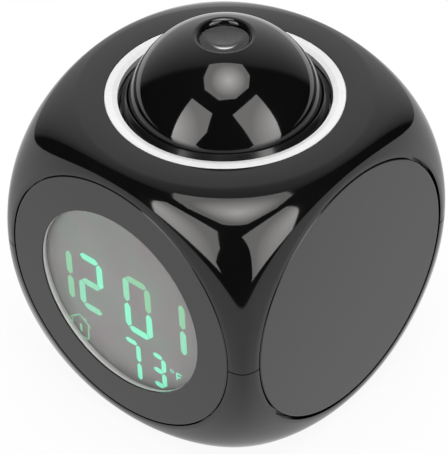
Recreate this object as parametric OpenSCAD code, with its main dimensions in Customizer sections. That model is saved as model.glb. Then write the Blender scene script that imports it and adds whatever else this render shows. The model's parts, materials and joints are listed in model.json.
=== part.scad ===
// Projection alarm clock: a cube housing with six round flats, a round display,
// and a projector ball that presses, swivels and tilts in the top.
// Millimetres, +Z up, the display faces -Y, origin at the middle of the base.

/* [Housing] */
// Width across the flat faces
body_w = 80; // [78:0.5:88]
// Radius where a flat turns into the corner
edge_r = 4.4; // [3.8:0.1:5]
// Moulded wall of the two shells
wall = 2; // [1.7:0.1:2.2]
// Drop of the parting line below the middle
seam_drop = 1.2; // [0:0.2:3]
// Height of the shadow line along the parting line
seam_gap = 0.3; // [0.2:0.05:0.5]
// Height that the rubber feet stand out
foot_h = 1; // [0.6:0.1:2]
// Diameter of a rubber foot
foot_d = 7; // [5:0.5:8]

/* [Round faces] */
// Width of the housing's flat that is left round the display bezel
bezel_margin = 0.9; // [0.8:0.05:2]
// Gap round the display bezel
bezel_gap = 0.3; // [0.2:0.05:0.4]
// Width of the flat that is left round the side covers and the back panel
cover_margin = 1.3; // [1.2:0.05:2.4]
// Gap round the side covers and the back panel
cover_gap = 0.5; // [0.3:0.05:0.6]
// Extra gap where a finger relief of a side cover is widest
relief_gap = 0.5; // [0.2:0.05:0.5]
// Thickness of the bezel, the covers and the back panel
face_t = 2.4; // [2.2:0.1:2.6]
// Rounding of their outer edge
face_edge_r = 0.35; // [0.2:0.05:0.6]

/* [Display] */
// Diameter of the display opening
window_d = 50.8; // [46:0.2:52]
// Depth of the window below the bezel's face
window_recess = 1.1; // [0.9:0.1:1.2]
// Thickness of the clear window
window_t = 1.2; // [0.8:0.1:1.2]
// Thickness of the liquid crystal cell
lcd_t = 2; // [1.6:0.1:2.2]
// Thickness of the backlight plate
backlight_t = 2.4; // [2:0.1:2.6]
// Thickness of the circuit boards
board_t = 1.6; // [1:0.1:1.6]

/* [Projector ball] */
// Diameter of the ball
ball_d = 48; // [46:0.2:48.4]
// Drop of the ball's centre below the top face
ball_sink = 5.8; // [5.2:0.1:6.4]
// Moulded wall of the ball
ball_wall = 1.8; // [1.4:0.1:2]
// Diameter of the lens well
well_d = 12.2; // [11:0.1:13]
// Depth of the lens below the ball's crown
lens_depth = 3.6; // [3:0.1:4.2]
// Rounding of the lip round the lens well
lip_r = 1.3; // [0.8:0.1:1.4]
// Diameter of the two tilt pins
tilt_pin_d = 2.4; // [2:0.1:2.6]
// Travel when the ball is pressed
press_travel = 1.5; // [1:0.1:1.6]
// Turn of the ball either way
swivel_range = 90; // [60:5:90]

/* [Top ring] */
// Gap between the collar and the white trim ring
ring_gap = 0.9; // [0.8:0.05:1.2]
// Width of the ring seen from above
ring_w = 3.1; // [2.9:0.05:3.2]
// Width of the part of it that slopes inwards
ring_slope_w = 1.25; // [1:0.05:1.5]
// Distance that the swivel collar's lip stands out beyond the ball
collar_lip_w = 0.95; // [0.9:0.05:1.1]
// Height of the slope on the outside of the collar's lip
collar_slope_h = 1.2; // [1:0.1:1.6]
// Running gap between the ball and the collar
ball_gap = 0.35; // [0.3:0.05:0.5]

/* [Back] */
// Diameter of a push button
button_d = 6.8; // [6:0.2:7.4]
// Distance between push buttons
button_pitch = 12; // [11:0.2:12.6]
// Height of the buttons above the middle of the housing
button_z = 10; // [8:0.5:11]
// Travel of a push button
button_travel = 0.5; // [0.3:0.1:0.6]
// Height of the projector's slide switch above the middle of the housing
slider_z = 21; // [20:0.5:23]
// Travel of the slide switch
slider_travel = 3; // [2:0.5:4]
// Diameter of the speaker
speaker_d = 28; // [24:0.5:29]
// Drop of the speaker below the middle of the housing
speaker_drop = 13; // [12:0.5:15]
// Diameter of a sound hole
sound_hole_d = 1.8; // [1.2:0.1:2.2]

/* [Batteries] */
// Diameter of a size AAA cell
cell_d = 10.5; // [10:0.1:10.5]
// Length of a size AAA cell with its cap
cell_l = 44.5; // [43.5:0.1:44.5]
// Thickness of the battery door
door_t = 1.8; // [1.6:0.05:1.85]
// Gap round the battery door
door_gap = 0.3; // [0.2:0.05:0.4]

/* [Hidden] */

big_fn = 128;     // facets of the large rounds
mid_fn = 64;      // facets of the middle-sized rounds
small_fn = 32;    // facets of pins, screws and bores
far = 200;        // longer than anything in the clock
eps = 0.01;       // overlap that fuses two shapes
fit = 0.1;        // clearance between parts that are assembled

// Housing
half = body_w / 2;
mid_z = foot_h + half;
flat_r = half - edge_r;
inner_half = half - wall;
seam_z = -seam_drop;
seam_groove = 0.5;
bezel_r = flat_r - bezel_margin;
cover_r = flat_r - cover_margin;
face_in = half - face_t;            // inner side of the round faces
ledge_t = 1.5;
ledge_w = 2.4;
ledge_r = cover_r - ledge_w;        // clear radius inside the ledges
ledge_out_r = face_in - fit;        // a ledge ends clear of the neighbouring covers
relief_steps = [51, 215];            // a finger relief starts wide at one of these angles
relief_sweep = [-57, 57];            // and tapers off over this turn
peg_d = 1.8;
peg_h = 2.2;
peg_gap = 0.1;

// Snap clips behind the round faces
clip_w = 7;
clip_t = 1.2;
clip_barb = 1;
clip_gap = 0.05;

// Display stack, measured along Y from the middle of the housing
window_r = window_d / 2;
bezel_lip_t = 0.4;
frame_t = 1.5;
pocket_step = 0.9;
window_y = half - window_recess;
lcd_y = window_y - window_t - fit;
backlight_y = lcd_y - lcd_t - fit;
board_y = backlight_y - backlight_t - 0.3;
lcd_w = window_d + 1.6;
lcd_clip_r = ledge_r - 1.6;
board_w = lcd_w + 2;
board_top = 14;
board_bottom = -lcd_w / 2;
strip_w = 2;
strip_l = 28;
chip_r = 6.3;                       // the blob of resin over the clock's chip
chip_h = 2;
chip_drop = 4;
chip_curve = (chip_r * chip_r + chip_h * chip_h) / (2 * chip_h);
sensor_r = 1.5;
sensor_in = 4;
board_boss_r = 2.1;
board_boss_at = [[-lcd_w / 2 - board_boss_r - 0.4, 0], [lcd_w / 2 + board_boss_r + 0.4, 0]];

// Projector ball, measured from the ball's centre
ball_r = ball_d / 2;
ball_z = half - ball_sink;
well_r = well_d / 2;
ball_split = -9;
ball_foot = 7;                      // height cut off the ball's underside
ball_floor = ball_foot - ball_r;
ball_floor_t = 1.8;
wire_hole_d = 8;
lens_z = ball_r - lens_depth;
lens_edge_t = 1.2;
lens_bulge = 1.2;
barrel_t = 1;
flange_t = 1.5;
lens_seat_l = 5.9;
flange_z = lens_z - lens_seat_l;
flange_r = 9.5;
skirt_t = 1.5;
led_board_t = 1.2;
film_w = 9;
film_t = 1.1;
led_d = 5;
led_h = 3.6;
led_top = led_board_t / 2 + led_h;
film_gap = 0.7;
barrel_end = led_top + film_gap + film_t;
pin_r = tilt_pin_d / 2;
pin_boss_r = pin_r + 1.4;
pin_boss_l = 6;
pin_boss_in = ball_r - pin_boss_l;
ball_screw_at = 13;
ball_post_r = 2.2;

// Top ring, collar and carrier, measured from the middle of the housing
collar_lip_r = ball_r + collar_lip_w;
ring_in_r = collar_lip_r + ring_gap;
ring_r = ring_in_r + ring_w;
ring_slope_h = 0.4;
top_seat_z = half - wall;
top_ledge_t = 1.2;
top_ledge_z = top_seat_z - top_ledge_t;
collar_sink = 0.1;
collar_top = half - collar_sink;
collar_bore_r = ball_r + ball_gap;
collar_edge_w = 0.15;               // flat left on top of the lip
collar_edge_r = sqrt(collar_bore_r * collar_bore_r - pow(collar_top - ball_z, 2)) + collar_edge_w;
collar_wall = 2.6;                  // from the ball to the collar's outside
collar_r = ball_r + collar_wall;
collar_drop = 6.2;
collar_bottom = ball_z - collar_drop;
run = 0.08;                         // radial running clearance of pins and collar
carrier_t = 1.7;
carrier_bore_r = collar_r + run;
carrier_r = carrier_bore_r + carrier_t;
carrier_top = top_ledge_z - fit;
carrier_lip_t = 0.8;
carrier_slot = 1;                   // the key stops this far below the carrier's top
carrier_lip_gap = 0.7;
carrier_lip_r = collar_lip_r + carrier_lip_gap;
collar_shoulder = carrier_top - carrier_lip_t - fit;
carrier_step = collar_bottom - fit;
carrier_drop = 12.2;
carrier_bottom = ball_z - carrier_drop;
carrier_low_r = ball_r + ball_gap + fit;
carrier_catch = 0.8;
top_ledge_r = carrier_r - carrier_catch;
stop_tab_w = 12;                    // degrees
stop_tab_h = 0.8;
stop_tab_gap = 0.7;
stop_in_r = carrier_low_r + stop_tab_gap;    // the tab under the collar that stops its turn
stop_out_r = collar_r - 2 * fit;
sleeve_gap = 0.2;
sleeve_in_r = carrier_r + sleeve_gap;
sleeve_t = 1.1;
sleeve_r = sleeve_in_r + sleeve_t;
spring_l = 4;
sleeve_bottom = carrier_bottom - spring_l;
key_w = 2.6;
key_out = 0.8;
key_gap = 0.15;
ear_r = 2.3;
ear_sink = 1;
ear_at = sleeve_r + ear_r - ear_sink;        // radius of the switch board's screw bosses
pressed_z = ball_z - press_travel;
switch_board_in_r = sqrt(ball_r * ball_r - pow(pressed_z - sleeve_bottom, 2)) + ball_gap;
press_r = (carrier_low_r + carrier_r) / 2;   // radius of the springs and the press switch
switch_w = 6;
press_switch_w = 3.4;
spring_d = 3;
spring_wire = 0.45;
spring_turns = 4;

// Back panel
band_rim = 1.5;                     // floor of the recess seen above and below a button
band_end = 2.5;                     // and beyond the outer buttons
band_l = 3 * button_pitch + button_d + 2 * band_end;
band_h = button_d + 2 * band_rim;
band_depth = 1;
button_gap = 0.2;
button_top = half - 0.15;
button_flange = 1;
button_flange_t = 0.7;
stem_d = 3;
switch_body_h = 3;
switch_plunger_h = 0.5;
stem_end = face_in - fit - button_flange_t - 1.2;
plunger_y = stem_end - button_travel - fit;
button_board_y = plunger_y - switch_plunger_h - switch_body_h;
button_board_h = 12;
button_board_end = 2.4;             // board beyond the middle of each screw
button_boss_hole = 4;
board_tongue_w = 20;                // the board's tongue behind the slide switch
knob_l = 3.4;
knob_w = 2.4;
knob_top = half - 0.3;
slider_groove = 0.8;
slider_gap = 0.15;
slider_wing = 1.2;                  // the plate under the knob keeps the slot covered
slider_body_h = 4.4;
slider_pin = 1.4;
slot_l = knob_l + slider_travel + 2 * slider_gap;
slider_body_y = face_in - fit - button_flange_t - fit;
button_boss_x = 1.5 * button_pitch + button_d / 2 + button_flange + 3;
sound_pitch = 3.2;
sound_rings = 3;
speaker_r = speaker_d / 2;
speaker_wall_t = 1.1;
speaker_y = face_in - 0.3;
speaker_h = 4.2;
speaker_wall_h = 3;
magnet_r = speaker_r * 0.58;
magnet_h = 2.6;
cone_gap = 0.1;
cap_sink = 2;                       // the domed cap is the top of a ball
surround_w = 1.6;

// Battery bay, measured from the middle of the housing
cell_r = cell_d / 2;
cell_gap = 0.4;
cell_pitch = cell_d + cell_gap;
contact_t = 0.4;
contact_w = 8;
spring_room = 4.6;
bay_l = cell_l + 2 * contact_t + spring_room + 2 * fit;
bay_w = 3 * cell_d + 2 * cell_gap + 0.8;
bay_wall = 1.8;
door_step = 0.8;
door_l = bay_l + 2 * door_step;     // opening in the base
door_w = bay_w + 2 * door_step;
door_in = -half + door_t;
cell_z = door_in + 0.4 + cell_r;
bay_roof = cell_z + cell_r + 0.3;
hinge_r = 1.1;                      // the door's rounded edge, flush with the base
hinge_pin_r = 0.5;
hinge_z = -half + hinge_r;
hinge_y = -door_w / 2 + hinge_r + door_gap;
hinge_in = 4;
hinge_out = 1.6;
hinge_lug_w = 4;
hinge_lug_h = 2.4;
scoop_w = 13;
latch_w = 10;                       // the sprung tongue that catches the housing
latch_l = 9;
latch_slit = 0.8;
grip_w = 12;
grip_pitch = 1.6;
nib_h = 0.18;
cap_r = 2.75;
cap_h = 0.9;
contact_wire = 0.5;
contact_coil_r = 2.6;
contact_turns = 3;

// Screws and feet
post_r = 3.1;
post_gap = 0.55;                    // least room between a post and its neighbours
post_x = bay_l / 2 + bay_wall + post_r + 0.3;
post_least_y = 14;
post_way = sleeve_r + post_gap + post_r;     // distance of a post from the middle
case_post = [post_x, max(post_least_y, sqrt(max(0, post_way * post_way - post_x * post_x)))];
screw_head_r = 2.2;
screw_head_h = 1.7;
screw_r = 1.05;
pilot_r = screw_r + fit;
case_seat_z = -12;
case_joint_z = -8;
case_screw_l = 12;
small_screw_r = 0.8;
small_head_r = 1.7;
small_head_h = 1.1;
small_screw_l = 5;
foot_sink = 0.5;
foot_margin = 1;                    // flat left outside a foot
foot_y = door_w / 2 + foot_d / 2 + 1.75;
foot_at = [sqrt(pow(flat_r - foot_d / 2 - foot_margin, 2) - foot_y * foot_y), foot_y];

mould = [0.035, 0.035, 0.038];
satin = [0.07, 0.07, 0.075];
inner = [0.14, 0.14, 0.15];
white = [0.9, 0.9, 0.9];
board = [0.05, 0.3, 0.16];
steel = [0.72, 0.73, 0.75];

// ---- shared shapes ----

// A ball of radius outer_r whose six caps are pressed flat at h; each flat runs into
// the ball through a rounding of radius r, and neighbouring flats just meet.
module ball_cube(h, r) {
    a = h - r;
    outer_r = sqrt(2) * a + r;
    difference() {
        sphere(outer_r, $fn = 160);
        for (turn = [[0, 0, 0], [180, 0, 0], [90, 0, 0], [-90, 0, 0], [0, 90, 0], [0, -90, 0]])
            rotate(turn)
                rotate_extrude($fn = big_fn)
                    difference() {
                        translate([0, outer_r / sqrt(2)]) square([outer_r, outer_r]);
                        square([a, h]);
                        translate([a, a]) circle(r, $fn = mid_fn);
                    }
    }
}

// Lifts a shape from the middle of the housing to its place above the base.
module from_middle() translate([0, 0, mid_z]) children();

// Turns a shape that is built along +Z to look out of a side: 0 front, 1 right, 2 back, 3 left.
module on_side(side) rotate([0, 0, 90 * side]) rotate([90, 0, 0]) children();

module tube(outer, inner_r, low, high, fn = big_fn)
    difference() {
        translate([0, 0, low]) cylinder(r = outer, h = high - low, $fn = fn);
        translate([0, 0, low - 1]) cylinder(r = inner_r, h = high - low + 2, $fn = fn);
    }

module disc(r, low, high, fn = mid_fn)
    translate([0, 0, low]) cylinder(r = r, h = high - low, $fn = fn);

// A flat disc with a rounded outer edge, its face at z = top.
module face_disc(r, thick, top, round)
    translate([0, 0, top - thick])
        rotate_extrude($fn = big_fn)
            union() {
                square([r - round, thick]);
                square([r, thick - round]);
                translate([r - round, thick - round]) circle(round, $fn = mid_fn);
            }

// Four hooks behind a round face; they catch under the housing's ledge.
module snap_clips()
    for (turn = [45:90:315])
        rotate([0, 0, turn]) {
            leg_r = sqrt(pow(ledge_r - fit, 2) - pow(clip_w / 2, 2)) - clip_t;
            leg_end = face_in - ledge_t - clip_gap - clip_barb;
            translate([leg_r, -clip_w / 2, leg_end])
                cube([clip_t, clip_w, face_in - leg_end + eps]);
            translate([leg_r, -clip_w / 2, leg_end])
                cube([clip_t + clip_barb, clip_w, clip_barb]);
        }

// A pan-head screw, its head's seat at z = 0 and its shank along -Z.
module screw(shank, length, head, head_h) {
    translate([0, 0, -length]) cylinder(r = shank, h = length + eps, $fn = small_fn);
    difference() {
        cylinder(r = head, h = head_h, $fn = small_fn);
        for (turn = [0, 90])
            rotate([0, 0, turn])
                translate([-head * 0.6, -0.25, head_h * 0.55]) cube([head * 1.2, 0.5, head_h]);
    }
}

// A coil spring along +Z with closed ends' centres at z = 0 and z = length.
module coil(coil_r, wire, length, turns, sides = 6, steps = 14) {
    count = turns * steps;
    rise = length - wire;
    function centre(i) = let (t = i / count, a = 360 * turns * t)
        [coil_r * cos(a), coil_r * sin(a), wire / 2 + rise * t];
    points = [for (i = [0:count]) let (a = 360 * turns * i / count, c = centre(i))
        for (j = [0:sides - 1]) let (b = 360 * j / sides)
            c + wire / 2 * [cos(b) * cos(a), cos(b) * sin(a), sin(b)]];
    walls = [for (i = [0:count - 1]) for (j = [0:sides - 1]) let (k = (j + 1) % sides)
        [i * sides + j, (i + 1) * sides + j, (i + 1) * sides + k, i * sides + k]];
    polyhedron(points, concat([[for (j = [0:sides - 1]) j]], walls,
        [[for (j = [sides - 1:-1:0]) count * sides + j]]));
}

// ---- housing ----

// The ledge behind a round opening; the cover rests on it.
module ledge_ring(side)
    on_side(side) tube(ledge_out_r, ledge_r, face_in - ledge_t, face_in);

module side_opening(side, r)
    on_side(side) disc(r, face_in - 0.5, half + 1, big_fn);

// Two arcs where the gap round a side cover starts wide and tapers off: each is a part
// of the opening's circle, moved out of centre.
module finger_reliefs(side)
    on_side(side)
        for (i = [0, 1]) {
            step = relief_steps[i];
            tail = step + relief_sweep[i];
            way = tail - sign(relief_sweep[i]) * 90;
            translate([0, 0, face_in - 0.5])
                linear_extrude(face_t + 2)
                    intersection() {
                        translate(relief_gap * [cos(way), sin(way)])
                            circle(cover_r + cover_gap, $fn = big_fn);
                        polygon([[0, 0], 2 * half * [cos(step), sin(step)],
                            2 * half * [cos(tail), sin(tail)]]);
                    }
        }

// The moulded walls of both shells, before they are parted.
module shell_walls() {
    difference() {
        ball_cube(half, edge_r);
        ball_cube(inner_half, edge_r - wall);
        side_opening(0, bezel_r + bezel_gap);
        for (side = [1:3]) side_opening(side, cover_r + cover_gap);
        for (side = [1, 3]) finger_reliefs(side);
    }
    for (side = [0:3]) ledge_ring(side);
}

module pegs(r, low, high)
    for (x = [-1, 1], y = [-1, 1])
        translate([x * peg_at(), y * peg_at(), low]) cylinder(r = r, h = high - low, $fn = small_fn);

function peg_at() = flat_r + 0.6;

module at_posts()
    for (x = [-1, 1], y = [-1, 1]) translate([x * case_post[0], y * case_post[1], 0]) children();

module at_ears()
    for (turn = [45:90:315]) rotate([0, 0, turn]) translate([ear_at, 0, 0]) children();

// The guide sleeve under the top face, with its key slot and screw bosses.
module guide_sleeve() {
    difference() {
        tube(sleeve_r, sleeve_in_r, sleeve_bottom, top_ledge_z + eps);
        translate([-key_w / 2 - key_gap, carrier_r - 1, sleeve_bottom - 1])
            cube([key_w + 2 * key_gap, sleeve_t + 3, carrier_top - sleeve_bottom + 1]);
    }
    difference() {
        at_ears() disc(ear_r, sleeve_bottom, inner_half + eps, small_fn);
        disc(sleeve_in_r, sleeve_bottom - 1, top_ledge_z);
        at_ears() disc(small_screw_r + fit, sleeve_bottom - 1, sleeve_bottom + small_screw_l + 1, small_fn);
    }
}

module upper_shell() color(mould) from_middle() {
    difference() {
        union() {
            difference() {
                shell_walls();
                translate([0, 0, seam_z - far / 2]) cube(far, center = true);
            }
            tube(sleeve_r + 0.6, top_ledge_r, top_ledge_z, inner_half + eps);
        }
        disc(ring_r + fit, top_seat_z, half + 1, big_fn);
        disc(top_ledge_r, top_ledge_z - 1, half, big_fn);
        pegs(peg_d / 2 + peg_gap, seam_z - 1, seam_z + peg_h + 2 * fit);
    }
    guide_sleeve();
    difference() {
        at_posts() disc(post_r, case_joint_z, inner_half + eps, small_fn);
        at_posts() disc(pilot_r, case_joint_z - 1, case_joint_z + case_screw_l - 2, small_fn);
    }
}

// The shadow line: a shallow step round the rim, cut from the four corner posts.
module seam_line()
    difference() {
        translate([-far / 2, -far / 2, seam_z - seam_gap]) cube([far, far, seam_gap + 1]);
        for (x = [-1, 1], y = [-1, 1])
            translate([x * flat_r, y * flat_r, 0])
                disc(edge_r - seam_groove, seam_z - 1, seam_z + 2, mid_fn);
        for (turn = [0, 90])
            rotate([0, 0, turn])
                translate([-half + seam_groove, -flat_r, seam_z - 1])
                    cube([2 * (half - seam_groove), 2 * flat_r, 3]);
    }

// The walls and the roof of the battery bay.
module battery_bay()
    difference() {
        translate([-bay_l / 2 - bay_wall, -bay_w / 2 - bay_wall, door_in])
            cube([bay_l + 2 * bay_wall, bay_w + 2 * bay_wall, bay_roof - door_in + bay_wall]);
        translate([-bay_l / 2, -bay_w / 2, door_in - 1])
            cube([bay_l, bay_w, bay_roof - door_in + 1]);
        hinge_pocket();
    }

// Room in the bay's wall for the hinge barrel to turn.
module hinge_pocket()
    translate([-door_l / 2, hinge_y, hinge_z]) rotate([0, 90, 0])
        cylinder(r = hinge_r + 0.15, h = door_l, $fn = small_fn);

module lower_shell() color(mould) from_middle() {
    difference() {
        union() {
            difference() {
                shell_walls();
                translate([0, 0, seam_z + far / 2]) cube(far, center = true);
                translate([-door_l / 2, -door_w / 2, -half - 1]) cube([door_l, door_w, wall + 2]);
            }
            battery_bay();
            at_posts() disc(post_r, -inner_half - eps, case_joint_z, small_fn);
            for (x = [-1, 1])
                translate([x * (door_l / 2 + hinge_out / 2 + 0.5), hinge_y, -inner_half])
                    cube([hinge_out + 1, hinge_lug_w, hinge_lug_h], center = true);
        }
        seam_line();
        at_posts() disc(screw_head_r + 0.3, -half - 1, case_seat_z, small_fn);
        at_posts() disc(screw_r + 2 * fit, case_seat_z - 1, case_joint_z + 1, small_fn);
        at_feet() disc(foot_d / 2 + fit, -half - 1, -half + foot_sink, small_fn);
        translate([-door_l / 2 - hinge_out - fit, hinge_y, hinge_z]) rotate([0, 90, 0])
            cylinder(r = hinge_pin_r + run, h = door_l + 2 * (hinge_out + fit), $fn = small_fn);
        translate([-scoop_w / 2, door_w / 2, -half]) rotate([0, 90, 0])
            cylinder(r = 1.4, h = scoop_w, $fn = small_fn);
    }
    pegs(peg_d / 2, seam_z - 1, seam_z + peg_h);
}

module at_feet()
    for (x = [-1, 1], y = [-1, 1]) translate([x * foot_at[0], y * foot_at[1], 0]) children();

module rubber_feet() color([0.1, 0.1, 0.1]) from_middle()
    at_feet() {
        disc(foot_d / 2, -half - foot_h + 0.3, -half + foot_sink, small_fn);
        disc(foot_d / 2 - 0.3, -half - foot_h, -half, small_fn);
    }

module case_screws() color(steel) from_middle()
    at_posts() translate([0, 0, case_seat_z]) rotate([180, 0, 0])
        screw(screw_r, case_screw_l, screw_head_r, screw_head_h);

// A plain round side cover.
module side_cover(side) color(satin) from_middle() on_side(side) {
    face_disc(cover_r, face_t, half, face_edge_r);
    snap_clips();
}

module right_cover() side_cover(1);

module left_cover() side_cover(3);

// ---- display ----

module at_board_bosses() for (p = board_boss_at) translate([p[0], p[1], 0]) children();

module front_bezel() color(satin) from_middle() on_side(0) {
    difference() {
        face_disc(bezel_r, face_t, half, face_edge_r);
        disc(window_r, face_in - 1, half + 1, big_fn);
        disc(window_r + frame_t + fit, face_in - 1, half - bezel_lip_t, big_fn);
    }
    snap_clips();
    difference() {
        at_board_bosses() disc(board_boss_r, board_y, face_in + eps, small_fn);
        at_board_bosses() disc(small_screw_r + fit, board_y - 1, board_y + small_screw_l, small_fn);
    }
}

module display_frame() color(white) from_middle() on_side(0) {
    rim = window_r + frame_t;
    tube(rim, window_r, window_y, half - bezel_lip_t - clip_gap);
    tube(rim, window_r + pocket_step, lcd_y, window_y + eps);
}

module display_window() color([0.75, 0.78, 0.78, 0.35]) from_middle() on_side(0)
    disc(window_r + pocket_step - fit, lcd_y + fit, window_y - clip_gap, big_fn);

// The outline that the cell and the backlight share: a square cut by the bezel's round.
module cell_plate(low, high)
    intersection() {
        translate([-lcd_w / 2, -lcd_w / 2, low]) cube([lcd_w, lcd_w, high - low]);
        disc(lcd_clip_r, low - 1, high + 1, big_fn);
    }

module lcd_cell() color([0.45, 0.46, 0.44]) from_middle() on_side(0)
    cell_plate(lcd_y - lcd_t, lcd_y - clip_gap);

// The plate stops short of the strip that joins the cell to the board.
module backlight_plate() color([0.92, 0.95, 0.9]) from_middle() on_side(0)
    difference() {
        cell_plate(backlight_y - backlight_t, backlight_y);
        translate([-half, -lcd_w / 2 - 1, backlight_y - backlight_t - 1])
            cube([2 * half, strip_w + 2 * fit + 1, backlight_t + 2]);
    }

module lcd_connector() color([0.75, 0.4, 0.45]) from_middle() on_side(0)
    translate([-strip_l / 2, -lcd_w / 2, board_y]) cube([strip_l, strip_w, lcd_y - lcd_t - board_y]);

module main_board() color(board) from_middle() on_side(0)
    difference() {
        union() {
            translate([-board_w / 2, board_bottom, board_y - board_t])
                cube([board_w, board_top - board_bottom, board_t]);
            for (p = board_boss_at)
                translate([p[0] - board_boss_r, p[1] - board_boss_r, board_y - board_t])
                    cube([2 * board_boss_r, 2 * board_boss_r, board_t]);
        }
        at_board_bosses() disc(small_screw_r + 2 * fit, board_y - board_t - 1, board_y + 1, small_fn);
    }

module main_board_screws() color(steel) from_middle() on_side(0)
    at_board_bosses() translate([0, 0, board_y - board_t]) rotate([180, 0, 0])
        screw(small_screw_r, small_screw_l, small_head_r, small_head_h);

module clock_chip() color(inner) from_middle() on_side(0)
    translate([0, -chip_drop, board_y - board_t])
        intersection() {
            translate([0, 0, chip_curve - chip_h]) sphere(chip_curve, $fn = mid_fn);
            disc(chip_r + 1, -chip_h - 1, 0);
        }

module temperature_sensor() color([0.6, 0.5, 0.2]) from_middle() on_side(0)
    translate([board_w / 2 - sensor_in, board_bottom + sensor_in, board_y - board_t - sensor_r])
        sphere(sensor_r, $fn = small_fn);

// ---- back ----

module at_buttons()
    for (i = [0:3]) translate([(i - 1.5) * button_pitch, button_z, 0]) children();

// Places a shape at one button, counted from the left as seen from behind.
module at_button(i) translate([(i - 1.5) * button_pitch, button_z, 0]) children();

module stadium(length, height, low, high) {
    r = height / 2;
    for (x = [-1, 1]) translate([x * (length / 2 - r), 0, 0]) disc(r, low, high, mid_fn);
    translate([-length / 2 + r, -r, low]) cube([length - 2 * r, height, high - low]);
}

module sound_holes()
    translate([0, -speaker_drop, 0]) {
        disc(sound_hole_d / 2, face_in - 1, half + 1, small_fn);
        for (ring = [1:sound_rings], i = [0:6 * ring - 1])
            rotate([0, 0, 60 * i / ring])
                translate([ring * sound_pitch, 0, 0])
                    disc(sound_hole_d / 2, face_in - 1, half + 1, small_fn);
    }

module at_button_bosses()
    for (x = [-1, 1]) translate([x * button_boss_x, button_z, 0]) children();

module back_panel() color(satin) from_middle() on_side(2) {
    difference() {
        face_disc(cover_r, face_t, half, face_edge_r);
        translate([0, button_z, 0]) stadium(band_l, band_h, half - band_depth, half + 1);
        at_buttons() disc(button_d / 2 + button_gap, face_in - 1, half, small_fn);
        sound_holes();
        translate([0, slider_z, 0]) {
            stadium(slot_l + 3, knob_w + 3, half - slider_groove, half + 1);
            translate([-slot_l / 2, -knob_w / 2 - slider_gap, face_in - 1])
                cube([slot_l, knob_w + 2 * slider_gap, face_t + 2]);
        }
    }
    snap_clips();
    difference() {
        at_button_bosses() disc(board_boss_r, button_board_y, face_in + eps, small_fn);
        at_button_bosses()
            disc(small_screw_r + fit, button_board_y - 1, button_board_y + button_boss_hole, small_fn);
    }
    translate([0, -speaker_drop, 0])
        tube(speaker_r + fit + speaker_wall_t, speaker_r + fit, face_in - speaker_wall_h,
            face_in + eps, mid_fn);
}

module push_button(i) color(inner) from_middle() on_side(2) at_button(i) {
    round = 0.5;
    low = face_in - fit;
    face_disc(button_d / 2, button_top - low + eps, button_top, round);
    disc(button_d / 2 + button_flange, low - button_flange_t, low, small_fn);
    disc(stem_d / 2, stem_end, low, small_fn);
}

module mode_button() push_button(0);

module set_button() push_button(1);

module up_button() push_button(2);

module down_button() push_button(3);

module button_board() color(board) from_middle() on_side(2)
    difference() {
        union() {
            translate([-button_boss_x - button_board_end, button_z - button_board_h / 2,
                button_board_y - board_t])
                cube([2 * (button_boss_x + button_board_end), button_board_h, board_t]);
            translate([-board_tongue_w / 2, button_z, button_board_y - board_t])
                cube([board_tongue_w, slider_z + 3 - button_z, board_t]);
        }
        at_button_bosses()
            disc(small_screw_r + 2 * fit, button_board_y - board_t - 1, button_board_y + 1, small_fn);
    }

module button_switches() color(inner) from_middle() on_side(2)
    at_buttons() {
        translate([-switch_w / 2, -switch_w / 2, button_board_y]) cube([switch_w, switch_w, switch_body_h]);
        disc(1.6, button_board_y, plunger_y, small_fn);
    }

// The slide switch that turns the projector on: its can, with a slot for the knob's pin.
module slide_switch() color(steel) from_middle() on_side(2) translate([0, slider_z, 0])
    difference() {
        can_l = slot_l + 3;
        translate([-can_l / 2, -slider_body_h / 2, button_board_y])
            cube([can_l, slider_body_h, slider_body_y - button_board_y]);
        translate([-slot_l / 2, -slider_pin / 2 - slider_gap, slider_body_y - 2])
            cube([slot_l, slider_pin + 2 * slider_gap, 3]);
    }

module slider_knob() color(inner) from_middle() on_side(2)
    translate([slider_travel / 2, slider_z, 0]) {
        low = face_in - fit;
        wing_l = slot_l + slider_travel + 2 * slider_wing;
        difference() {
            translate([-knob_l / 2, -knob_w / 2, low - eps]) cube([knob_l, knob_w, knob_top - low + eps]);
            for (x = [-1:1])
                translate([x * 1 - 0.2, -knob_w, knob_top - 0.3]) cube([0.4, 2 * knob_w, 1]);
        }
        translate([-wing_l / 2, -knob_w / 2 - slider_wing, low - button_flange_t])
            cube([wing_l, knob_w + 2 * slider_wing, button_flange_t]);
        translate([-slider_pin / 2, -slider_pin / 2, slider_body_y - 1.6])
            cube([slider_pin, slider_pin, low - slider_body_y + 1.6]);
    }

module button_board_screws() color(steel) from_middle() on_side(2)
    at_button_bosses() translate([0, 0, button_board_y - board_t]) rotate([180, 0, 0])
        screw(small_screw_r, small_screw_l - 0.6, small_head_r, small_head_h);

module at_speaker() from_middle() on_side(2) translate([0, -speaker_drop, 0]) children();

module speaker_frame() color(steel) at_speaker()
    difference() {
        disc(speaker_r, speaker_y - speaker_h, speaker_y);
        translate([0, 0, speaker_y - speaker_h + 0.8])
            cylinder(r1 = magnet_r, r2 = speaker_r - 0.8, h = speaker_h, $fn = mid_fn);
    }

// A shallow paper cone with a domed cap, standing in the frame.
module speaker_cone() color(inner) at_speaker() {
    low = speaker_y - speaker_h + 0.8 + cone_gap;
    high = speaker_y - 0.4;
    rim = magnet_r + (speaker_r - 0.8 - magnet_r) * (high - low) / speaker_h - 2 * cone_gap;
    rotate_extrude($fn = mid_fn)
        polygon([[0, low], [magnet_r - 2 * cone_gap, low], [rim, high], [rim - surround_w, high],
            [magnet_r * 0.5, low + 0.7], [0, low + 0.7]]);
    translate([0, 0, low]) intersection() {
        translate([0, 0, -cap_sink]) sphere(magnet_r * 0.62, $fn = mid_fn);
        disc(magnet_r, 0, magnet_r);
    }
}

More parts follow.
